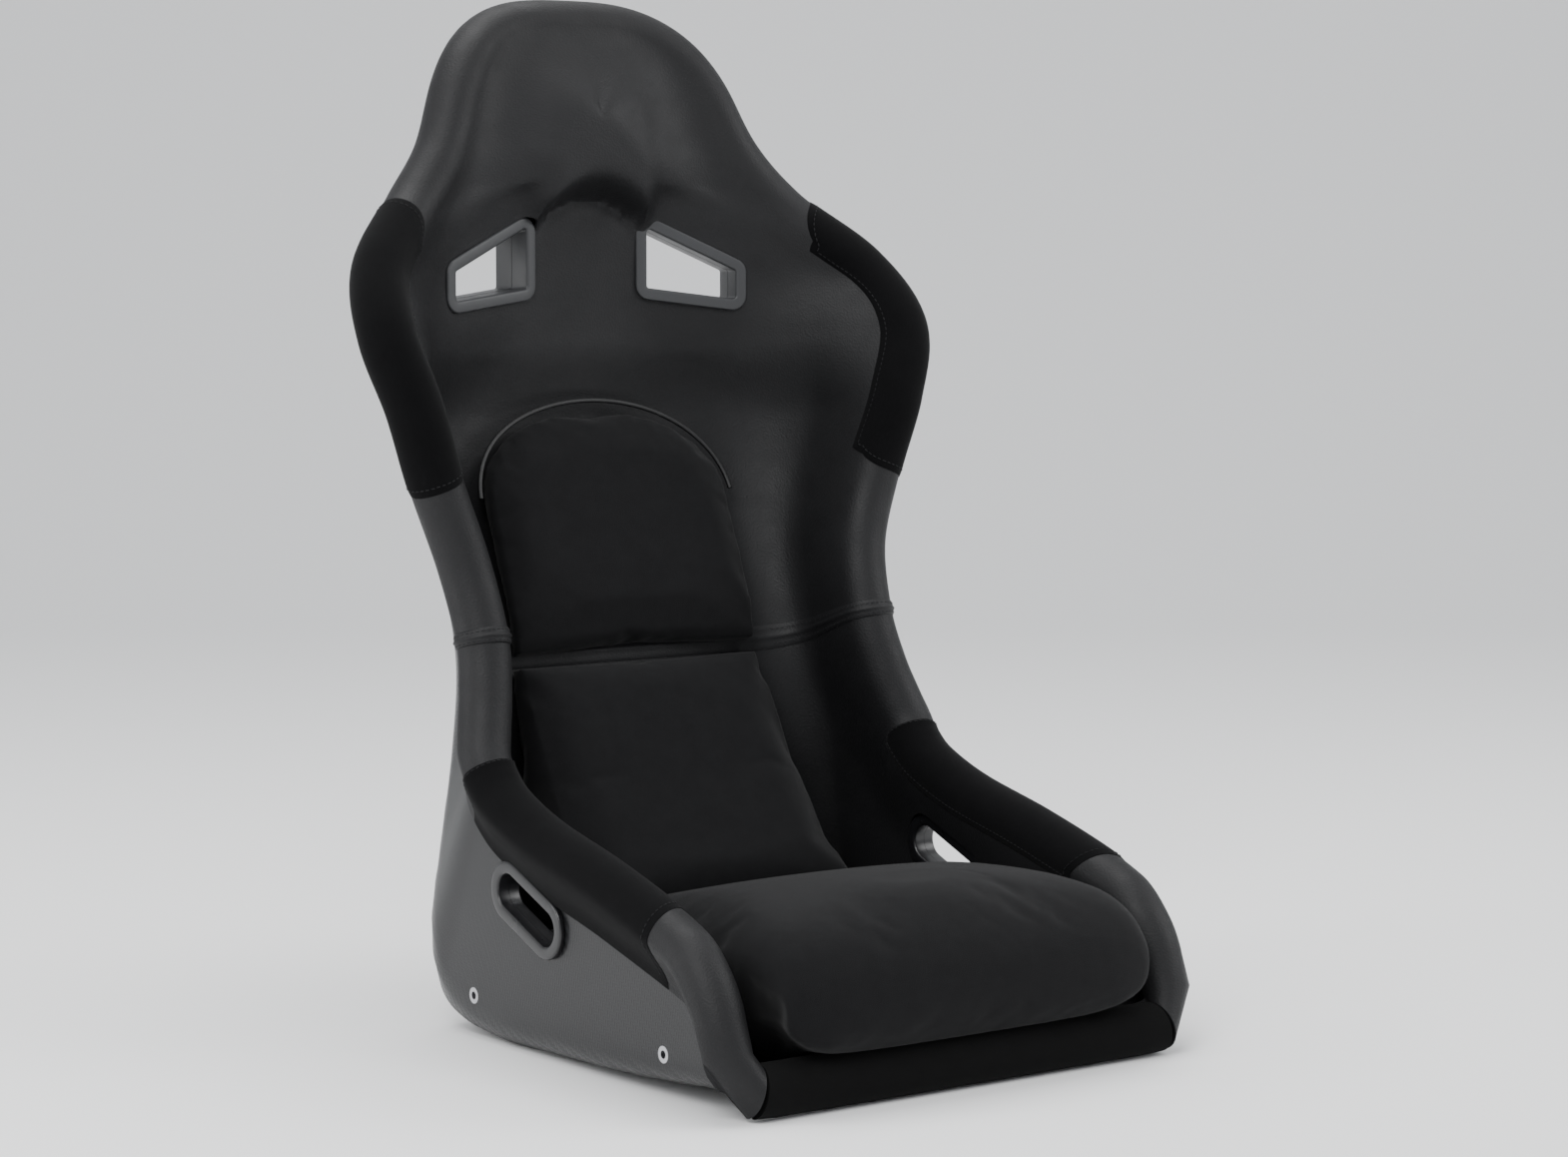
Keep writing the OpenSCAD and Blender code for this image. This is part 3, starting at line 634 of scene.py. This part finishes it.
def bolt_cutter(side, y):
    t = np.linspace(0, 2 * math.pi, 33)[:-1]
    c = np.column_stack([np.full(32, 0.0), y + 7.15 * np.cos(t), 38 + 7.15 * np.sin(t)])
    verts = np.concatenate([c + [side * 215, 0, 0], c + [side * 240, 0, 0]])
    faces = [tuple(range(32)), tuple(range(63, 31, -1))]
    faces += [(i, 32 + i, 32 + (i + 1) % 32, (i + 1) % 32) for i in range(32)]
    ob = new_mesh("bolt_cut", place(verts), faces, None)
    if side < 0:
        ob.data.flip_normals()
    bm = bmesh.new()
    bm.from_mesh(ob.data)
    bmesh.ops.recalc_face_normals(bm, faces=bm.faces)
    bm.to_mesh(ob.data)
    bm.free()
    return ob


bolt_cutters = [bolt_cutter(s, y) for s in (1, -1) for y in (102, 392)]

# ---------------------------------------------------------------- shell
ks = rails(0, 19)
shell_cols = INSIDE
inner = grid(ks, shell_cols, zero)
outer = grid(ks, shell_cols, under)
uu = np.stack([np.stack(rail_point(ks, share(ks, c))[::-1], 1) for c in shell_cols], 1)
uu[..., 1] *= STEP
uv = np.concatenate([uu[:, :0:-1] * [-1, 1], uu], 1)
shell = solid("shell_skin", inner, outer, M["shell"], uv=uv, angle=50, zips=("first", "last"))
bm = bmesh.new()
bm.from_mesh(shell.data)
bmesh.ops.remove_doubles(bm, verts=bm.verts, dist=2e-5)
bmesh.ops.recalc_face_normals(bm, faces=bm.faces)
bm.to_mesh(shell.data)
bm.free()
cut(shell, slot_cutters + lap_cutters + bolt_cutters)
done(shell, "seat", "shell_gelcoat", "shell")

# ---------------------------------------------------------------- sewn covers
top = lambda k, c: pad(k, c)
low = lambda k, c: pad(k, c) - COVER_T


def cover(name, a, b, cols, cutters, angle=60, zips=()):
    k = rails(a, b)
    ob = solid(name, grid(k, cols, top), grid(k, cols, low), M["leather"], angle=angle, zips=zips)
    bm = bmesh.new()
    bm.from_mesh(ob.data)
    bmesh.ops.remove_doubles(bm, verts=bm.verts, dist=2e-5)
    bmesh.ops.recalc_face_normals(bm, faces=bm.faces)
    bm.to_mesh(ob.data)
    bm.free()
    return cut(ob, cutters)


upper = cover("upper_skin", WAIST_K + 0.01, 19, ALL, slot_cutters + slot_front_cutters, zips=("last",))
done(upper, "seat", "leatherette", "upper_cover", "head_foam", "back_foam",
     "shoulder_foam_left", "shoulder_foam_right")
lower = cover("lower_skin", APRON_K, WAIST_K - 0.01, ALL, lap_cutters + lap_in_cutters + bolt_cutters)
done(lower, "seat", "leatherette", "lower_cover", "pan_foam", "thigh_foam_left", "thigh_foam_right")

# Apron across the front lip
NEAR = [("near", float(v)) for v in np.linspace(50, 0, 12)]
ka = np.concatenate([-spread(0.001, APRON_K - 0.01, .06)[::-1], spread(0.001, APRON_K - 0.01, .06)])


def side_grid(ks, cols, height):
    out = np.stack([layer(np.abs(ks), c, height(np.abs(ks), c)) for c in cols], 1)
    out[ks < 0] *= [-1, 1, 1]
    return out


apron = solid("apron_skin", side_grid(ka, NEAR + TURN + OUT, top),
              side_grid(ka, NEAR + TURN + OUT, lambda k, c: 0 * k + GAP), M["apron"], angle=60)
done(apron, "seat", "apron_vinyl", "front_apron")


# ---------------------------------------------------------------- suede patches, waist band, stitches
def column_of(v):
    """Column at v: below 0 inside in mm, 0 to 90 degrees round the rim, then outside in mm."""
    if v <= 0:
        return ("near", -float(v))
    if v < 180:
        return ("turn", 90 - float(v))
    return ("out", float(v) - 180)


def patch(name, side, v0, v1, k_lo, k_hi, mat, t0=GAP, t1=GAP + 1.2, nk=90):
    """A sewn-on patch with rounded edges between columns v0 and v1; its ends are functions of v."""
    vs = np.concatenate([spread(v0, 0, 3)[:-1] if v0 < 0 else [], spread(max(v0, 0), min(v1, 180), 8),
                         spread(180, v1, 4)[1:] if v1 > 180 else []])
    s = np.linspace(0, 1, nk)
    tops, lows = [], []
    for i, v in enumerate(vs):
        c = column_of(v)
        w = (v - v0) / (v1 - v0)
        k = k_lo(w) + (k_hi(w) - k_lo(w)) * s
        edge = np.minimum(np.minimum(s, 1 - s) * nk / 2.0, min(i, len(vs) - 1 - i) * 1.0)
        crown = np.sqrt(np.clip(edge / 1.6, 0, 1))
        h = pad(k, c)
        tops.append(layer(k, c, h + t0 + (t1 - t0) * (0.15 + 0.85 * crown)))
        lows.append(layer(k, c, h + t0 - 0.25))
    tops, lows = np.stack(tops, 1), np.stack(lows, 1)
    if side < 0:
        tops, lows = mirrored(tops), mirrored(lows)
    return solid(name, tops, lows, mat, angle=60)


def stitches(name, paths, mat, pitch=5.0, length=3.4, r=0.42, body="seat"):
    """Rows of thread, each a line of small raised beads along a polyline in the seat's frame."""
    verts, faces = [], []
    prof = [(-0.5, 0.25), (-0.36, 0.85), (0, 1.0), (0.36, 0.85), (0.5, 0.25)]
    for path, normals in paths:
        d = np.linalg.norm(np.diff(path, axis=0), axis=1)
        cum = np.concatenate([[0], np.cumsum(d)])
        n = int(cum[-1] // pitch)
        for j in range(n):
            at = (j + 0.5) * pitch
            p = np.array([np.interp(at, cum, path[:, i]) for i in range(3)])
            q = np.array([np.interp(min(at + 1, cum[-1]), cum, path[:, i]) for i in range(3)])
            nn = unit(np.array([np.interp(at, cum, normals[:, i]) for i in range(3)]))
            t = unit(q - p)
            b = np.cross(nn, t)
            base = len(verts)
            for f, g in prof:
                for a in range(6):
                    th = math.pi * a / 3
                    verts.append(p + t * f * length + r * g * (b * math.cos(th) + nn * math.sin(th)))
            for i in range(4):
                for a in range(6):
                    faces.append((base + i * 6 + a, base + i * 6 + (a + 1) % 6,
                                  base + (i + 1) * 6 + (a + 1) % 6, base + (i + 1) * 6 + a))
            faces.append(tuple(base + a for a in range(5, -1, -1)))
            faces.append(tuple(base + 24 + a for a in range(6)))
    ob = new_mesh(name, place(verts), faces, mat, angle=80)
    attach(ob, body)
    return ob


def path_on(ks, vs, t):
    """Points and outward directions at height t over the padding, along rails ks and columns vs."""
    pts, nrm = [], []
    for k, v in zip(ks, vs):
        k = np.array([float(k)])
        c = column_of(v)
        h = pad(k, c)
        a = layer(k, c, h + t)[0]
        b = layer(k, c, h + t + 1)[0]
        pts.append(a)
        nrm.append(b - a)
    return np.array(pts), np.array(nrm)


def both(paths):
    return paths + [(p * [-1, 1, 1], n * [-1, 1, 1]) for p, n in paths]


SH_V = (-14, 220)
TH_V = (-12, 220)
sh_lo = lambda w: 12.42 + 0.22 * abs(2 * w - 1)**4
sh_hi = lambda w: 16.3 + 0.12 * w - 0.36 * abs(2 * w - 1)**4
th_lo = lambda w: 2.32 + 0.34 * (1 - w)**2
th_hi = lambda w: 7.3 - 0.28 * w - 0.22 * abs(2 * w - 1)**4
thread_paths = []
for side, word in ((1, "left"), (-1, "right")):
    ob = patch(f"shoulder_suede_{word}", side, *SH_V, sh_lo, sh_hi, M["suede"])
    done(ob, "seat", "suede", f"shoulder_patch_{word}")
    ob = patch(f"thigh_suede_{word}", side, *TH_V, th_lo, th_hi, M["suede"])
    cut(ob, [lap_out_cutters[0 if side > 0 else 1], lap_cutters[0 if side > 0 else 1]])
    done(ob, "seat", "suede", f"thigh_patch_{word}")

for lo_f, hi_f, (v0, v1) in ((sh_lo, sh_hi, SH_V), (th_lo, th_hi, TH_V)):
    n = 160
    v_in, v_out = v0 + 6, v1 - 8
    w_in = (v_in - v0) / (v1 - v0)
    a, b = lo_f(w_in) + 0.09, hi_f(w_in) - 0.09
    thread_paths.append(path_on(np.linspace(a, b, n), np.full(n, v_in), 1.45))
    vv = np.linspace(v_in, v_out, 60)
    w = (vv - v0) / (v1 - v0)
    thread_paths.append(path_on([lo_f(x) + 0.09 for x in w], vv, 1.45))
    thread_paths.append(path_on([hi_f(x) - 0.09 for x in w], vv, 1.45))
stitches("patch_thread", both(thread_paths), M["thread"])

# Waist band, a folded strip with a stitch line on either side of its welt
kb = np.linspace(WAIST_K - 0.12, WAIST_K + 0.12, 15)
across_band = np.linspace(-1, 1, len(kb))
welt_h, welt_w = 1.3, 0.2
band_h = 1.2 * np.clip(1 - np.abs(across_band)**6, 0.1, 1) + welt_h * np.exp(-(across_band / welt_w)**2)


def band_grid(cols, height):
    half = np.stack([layer(kb, c, height(c)) for c in cols], 1)
    half[:, 0, 0] = 0
    return np.concatenate([half[:, :0:-1] * [-1, 1, 1], half], 1)


band = solid("waist_skin", band_grid(ALL, lambda c: pad(kb, c) + GAP + band_h),
             band_grid(ALL, lambda c: pad(kb, c) + 0.1), M["leather"], angle=60)
done(band, "seat", "leatherette", "waist_band")
vv = np.concatenate([np.linspace(-110, 0, 60), np.linspace(4, 176, 40), np.linspace(180, 216, 14)])
stitches("waist_thread", both([path_on(np.full(len(vv), WAIST_K + s * 0.075), vv, 1.35) for s in (-1, 1)]),
         M["thread"])


# ---------------------------------------------------------------- bezels
front_section = ([(3.2, 16.3), (5, 16.3), (5, 33.0), (13.2, 33.0)] + arc(13.2, 33.9, 0.8, -90, 0, 3)
                 + arc(12.2, 35.2, 1.8, 0, 90) + arc(5.4, 34.6, 2.4, 90, 180))
front_section = [(max(r, 3.0), z) for r, z in front_section]
rear_section = ([(3.0, 16.0), (5, 16.0), (5, -1.2), (13.2, -1.2)] + arc(13.2, -2.1, 0.8, 90, 0, 3)
                + arc(12.2, -3.4, 1.8, 0, -90) + arc(5.0, -3.2, 2.0, -90, -180))
lap_inner_section = ([(15, 223.7), (17.5, 223.7), (17.5, 217.4), (25.2, 217.4)]
                     + arc(25.2, 216.6, 0.8, 90, 0, 3)
                     + arc(23.8, 214.6, 2.2, 0, -90) + arc(17.4, 214.8, 2.4, -90, -180))
lap_outer_section = ([(15, 224), (17.5, 224), (17.5, 230.3), (25.2, 230.3)]
                     + arc(25.2, 231.1, 0.8, -90, 0, 3)
                     + arc(23.8, 233.1, 2.2, 0, 90) + arc(17.4, 232.9, 2.4, 90, 180))
for side, word in ((1, "left"), (-1, "right")):
    done(ring(f"front_ring_{word}", slot_shape, front_section, slot_place, side, M["bezel"]),
         "seat", "bezel_plastic", f"shoulder_bezel_front_{word}")
    done(ring(f"rear_ring_{word}", slot_shape, rear_section, slot_place, side, M["bezel"]),
         "seat", "bezel_plastic", f"shoulder_bezel_rear_{word}")
    done(ring(f"lap_inner_ring_{word}", stadium, lap_inner_section, lap_place, side, M["lap"]),
         "seat", "lap_plastic", f"lap_bezel_inner_{word}")
    done(ring(f"lap_outer_ring_{word}", stadium, lap_outer_section, lap_place, side, M["lap"]),
         "seat", "bezel_plastic", f"lap_bezel_outer_{word}")


# ---------------------------------------------------------------- cushions
def own(node_name, name):
    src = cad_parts[node_name]
    ob = bpy.data.objects.new(name, src.data.copy())
    bpy.context.scene.collection.objects.link(ob)
    return ob


def outer_shell_only(ob):
    """Keeps the largest closed skin of a hollow solid."""
    bm = bmesh.new()
    bm.from_mesh(ob.data)
    bmesh.ops.remove_doubles(bm, verts=bm.verts, dist=2e-5)
    bm.verts.ensure_lookup_table()
    seen, groups = set(), []
    for v in bm.verts:
        if v in seen:
            continue
        stack, comp = [v], []
        seen.add(v)
        while stack:
            x = stack.pop()
            comp.append(x)
            for e in x.link_edges:
                y = e.other_vert(x)
                if y not in seen:
                    seen.add(y)
                    stack.append(y)
        groups.append(comp)

    def face_area(g):
        xs, zs = [v.co.x for v in g], [v.co.z for v in g]
        return (max(xs) - min(xs)) * (max(zs) - min(zs))

    best = max(groups, key=face_area)
    keep = set(best)
    bmesh.ops.delete(bm, geom=[v for v in bm.verts if v not in keep], context="VERTS")
    bm.to_mesh(ob.data)
    bm.free()


def points_of(ob):
    co = np.empty(len(ob.data.vertices) * 3)
    ob.data.vertices.foreach_get("co", co)
    return co.reshape(-1, 3)


def set_points(ob, pts):
    ob.data.vertices.foreach_set("co", np.asarray(pts, float).ravel())
    ob.data.update()


def cushion(ob, voxel, shrink, cap, pressure, frames=16):
    """A stuffed cushion, swollen by a cloth simulation out of a smaller closed form."""
    m = ob.modifiers.new("voxels", "REMESH")
    m.mode = "VOXEL"
    m.voxel_size = voxel
    apply_all(ob)
    cad = points_of(ob)
    lo, hi = cad.min(0), cad.max(0)
    normals = np.empty(len(cad) * 3)
    ob.data.vertices.foreach_get("normal", normals)
    start = cad - normals.reshape(-1, 3) * shrink
    set_points(ob, start)
    m = ob.modifiers.new("cloth", "CLOTH")
    st = m.settings
    st.quality = 4
    st.mass = 0.3
    st.tension_stiffness = st.compression_stiffness = 12
    st.shear_stiffness = 5
    st.bending_stiffness = 0.4
    st.use_pressure = True
    st.uniform_pressure_force = pressure
    st.effector_weights.gravity = 0
    m.collision_settings.use_collision = False
    m.point_cache.frame_start, m.point_cache.frame_end = 1, frames
    scn = bpy.context.scene
    for f in range(1, frames + 1):
        scn.frame_set(f)
    apply_all(ob)
    scn.frame_set(1)
    swollen = points_of(ob)
    move = swollen - start
    far = np.linalg.norm(move, axis=1, keepdims=True)
    set_points(ob, start + move * np.minimum(1, cap / np.maximum(far, 1e-9)))
    pts = points_of(ob)
    return ob, pts, lo, hi


def relax(ob, rounds):
    m = ob.modifiers.new("smooth", "SMOOTH")
    m.factor = 0.5
    m.iterations = rounds
    apply_all(ob)


def finish_cushion(ob, body, slot_name, *cad):
    m = ob.modifiers.new("sub", "SUBSURF")
    m.levels = m.render_levels = 1
    apply_all(ob)
    ob.data.materials.clear()
    ob.data.materials.append(M["cushion"])
    ob.data.shade_smooth()
    done(ob, body, slot_name, *cad)


def closed_curve(points, n):
    """The points of a closed polygon, rounded off and spread evenly."""
    p = np.array(points, float)
    for _ in range(3):
        q = np.roll(p, -1, 0)
        p = np.stack([0.78 * p + 0.22 * q, 0.22 * p + 0.78 * q], 1).reshape(-1, 2)
    p = np.vstack([p, p[:1]])
    cum = np.concatenate([[0], np.cumsum(np.linalg.norm(np.diff(p, axis=0), axis=1))])
    at = np.linspace(0, cum[-1], n + 1)[:-1]
    return np.stack([np.interp(at, cum, p[:, i]) for i in range(2)], 1)


def base_form(name):
    """The base cushion: a crowned pad with a thick nose over the front lip and pulled-in sides."""
    prof = closed_curve([[66, 33], [42, 46], [10, 56], [-22, 42], [-33, 62], [-30, 100], [-10, 134], [26, 149],
                         [90, 149], [170, 141], [250, 126], [318, 108], [338, 100], [420, 62], [448, 48],
                         [440, 22], [380, 17], [280, 19], [180, 23], [100, 29]], 130)
    mid = np.array([200.0, 80.0])
    xs = 192 * np.sin(np.linspace(-1, 1, 91) * math.pi / 2)
    rings = []
    for x in xs:
        s = max(0.001, 1 - min(1, abs(x) / 192.5)**12)**(1 / 4.5)
        q = prof.copy()
        over = np.clip((q[:, 1] - 70) / 80, 0, 1)
        q[:, 1] += over * (6 - 13 * (abs(x) / 192)**2.2)
        q[:, 1] += 5 * np.exp(-((x + 6) / 62)**2) * np.exp(-((q[:, 0] - 40) / 60)**2) * over
        nose = np.clip((60 - q[:, 0]) / 60, 0, 1)
        q[:, 0] += nose * 9 * (abs(x) / 192)**3
        low = np.clip((60 - q[:, 1]) / 40, 0, 1)
        q[:, 1] += low * 16 * np.clip((abs(x) - 150) / 42, 0, 1)**1.5
        q = mid + (q - mid) * [0.90 + 0.10 * s, s] if s < 1 else q
        rings.append(np.column_stack([np.full(len(q), x), q[:, 0], q[:, 1]]))
    g = np.array(rings)
    n, m = g.shape[:2]
    faces = [(i * m + j, i * m + (j + 1) % m, (i + 1) * m + (j + 1) % m, (i + 1) * m + j)
             for i in range(n - 1) for j in range(m)]
    faces += [tuple(range(m))[::-1], tuple((n - 1) * m + j for j in range(m))]
    ob = new_mesh(name, place(g.reshape(-1, 3)), faces, M["cushion"])
    bm = bmesh.new()
    bm.from_mesh(ob.data)
    bmesh.ops.recalc_face_normals(bm, faces=bm.faces)
    bm.to_mesh(ob.data)
    bm.free()
    return ob


def cad_form(name, node_name):
    ob = own(node_name, name)
    outer_shell_only(ob)
    return ob


CUSHIONS = (
    (lambda: cad_form("upper_cushion", "upper_cushion_cover"), "upper_back_cushion",
     ["upper_cushion_cover", "upper_cushion_foam"], 0.012),
    (lambda: cad_form("lower_cushion", "lower_cushion_cover"), "lower_back_cushion",
     ["lower_cushion_cover", "lower_cushion_foam"], 0.014),
    (lambda: base_form("base_pad"), "base_cushion", ["seat_cushion_cover", "seat_cushion_foam"], 0.012))
for form, body, cad, cap in CUSHIONS:
    ob, pts, lo, hi = cushion(form(), 0.005, 0.003, cap, 3.0)
    relax(ob, 5)
    pts = points_of(ob)
    set_points(ob, np.clip(pts, lo - 0.0015, hi + 0.003))
    finish_cushion(ob, body, "cushion_cloth", *cad)

# Piping round the arch of the upper cushion
t = np.radians(np.linspace(4, 176, 140))
arch_z = 446 + (90 + 2.5) * np.sin(t)**0.9
arch_y = np.interp(arch_z, [440, 470, 500, 520, 540], [522, 535, 548, 556, 562])
pip = np.stack([136.5 * np.cos(t), arch_y, arch_z], 1)
tang = unit(np.gradient(pip, axis=0))
e1 = unit(np.cross(tang, [0, 1, 0]))
e2 = np.cross(tang, e1)
circ = np.linspace(0, 2 * math.pi, 13)[:-1]
tube = np.stack([pip + 2.2 * (math.cos(a) * e1 + math.sin(a) * e2) for a in circ], 1)
rows, cols = tube.shape[:2]
faces = [(r * cols + c, r * cols + (c + 1) % cols, (r + 1) * cols + (c + 1) % cols, (r + 1) * cols + c)
         for r in range(rows - 1) for c in range(cols)]
faces += [tuple(range(cols))[::-1], tuple((rows - 1) * cols + c for c in range(cols))]
piping = new_mesh("arch_piping", place(tube.reshape(-1, 3)), faces, M["piping"], angle=80)
done(piping, "upper_back_cushion", "piping", "upper_cushion_piping")

# ---------------------------------------------------------------- CAD nodes that stay
for name, mat in (("upper_hook_strips", "hook"), ("lower_hook_strips", "hook"), ("seat_hook_strips", "hook"),
                  ("mount_plate_left", "alloy"), ("mount_plate_right", "alloy"), ("threaded_inserts", "steel")):
    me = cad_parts[name].data
    me.materials.clear()
    me.materials.append(M[mat])

for o in slot_cutters + slot_front_cutters + lap_cutters + lap_in_cutters + lap_out_cutters + bolt_cutters:
    bpy.data.objects.remove(o)

# ---------------------------------------------------------------- stage, light, camera
floor_mat, nt, sh = nodes_of("floor")
put(nt, sh, Base_Color=(0.90, 0.90, 0.90, 1), Roughness=0.7, Specular_IOR_Level=0.3)
prof = [(-9.0, 0.0), (3.4, 0.0)] + [(3.4 + 2.5 * math.sin(t), 2.5 - 2.5 * math.cos(t))
                                    for t in np.linspace(0.05, math.pi / 2, 24)] + [(5.9, 9.0)]
view_dir, across_dir = np.array([0.588, 0.809]), np.array([0.809, -0.588])
verts = [(*(view_dir * d + across_dir * w), z - 0.0005) for d, z in prof for w in (-14, 14)]
floor = new_mesh("floor_sweep", verts, [(2 * i, 2 * i + 1, 2 * i + 3, 2 * i + 2) for i in range(len(prof) - 1)],
                 floor_mat, angle=60)
floor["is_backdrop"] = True
world = bpy.data.worlds.new("studio")
world.use_nodes = True
world.node_tree.nodes["Background"].inputs[0].default_value = (0.95, 0.97, 1.0, 1)
world.node_tree.nodes["Background"].inputs[1].default_value = 0.85
bpy.context.scene.world = world


def softbox(name, place_at, aim, size, power):
    li = bpy.data.lights.new(name, "AREA")
    li.shape = "RECTANGLE"
    li.size, li.size_y = size
    li.energy = power
    ob = bpy.data.objects.new(name, li)
    bpy.context.scene.collection.objects.link(ob)
    ob.location = place_at
    ob.rotation_euler = (Vector(aim) - Vector(place_at)).to_track_quat("-Z", "Y").to_euler()
    return ob


softbox("key", (-2.2, -1.6, 2.6), (0, 0, 0.5), (1.6, 1.6), 75)
softbox("fill", (2.4, -1.6, 1.9), (0, 0, 0.4), (1.8, 1.8), 45)
softbox("top", (0, 0.4, 2.9), (0, 0, 0.4), (2.0, 2.0), 60)
softbox("side", (-2.6, 0.9, 0.9), (-0.2, 0, 0.3), (0.7, 1.8), 30)

cam_data = bpy.data.cameras.new("cam")
cam_data.lens = 84.73
cam_data.sensor_width = 36
cam = bpy.data.objects.new("cam", cam_data)
bpy.context.scene.collection.objects.link(cam)
cam.location = (-1.854, -2.590, 0.676)
cam.rotation_euler = Vector((0.5855, 0.8058, -0.0885)).to_track_quat("-Z", "Y").to_euler()
cam_data.clip_end = 60
bpy.context.scene.camera = cam

lo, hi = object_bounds()
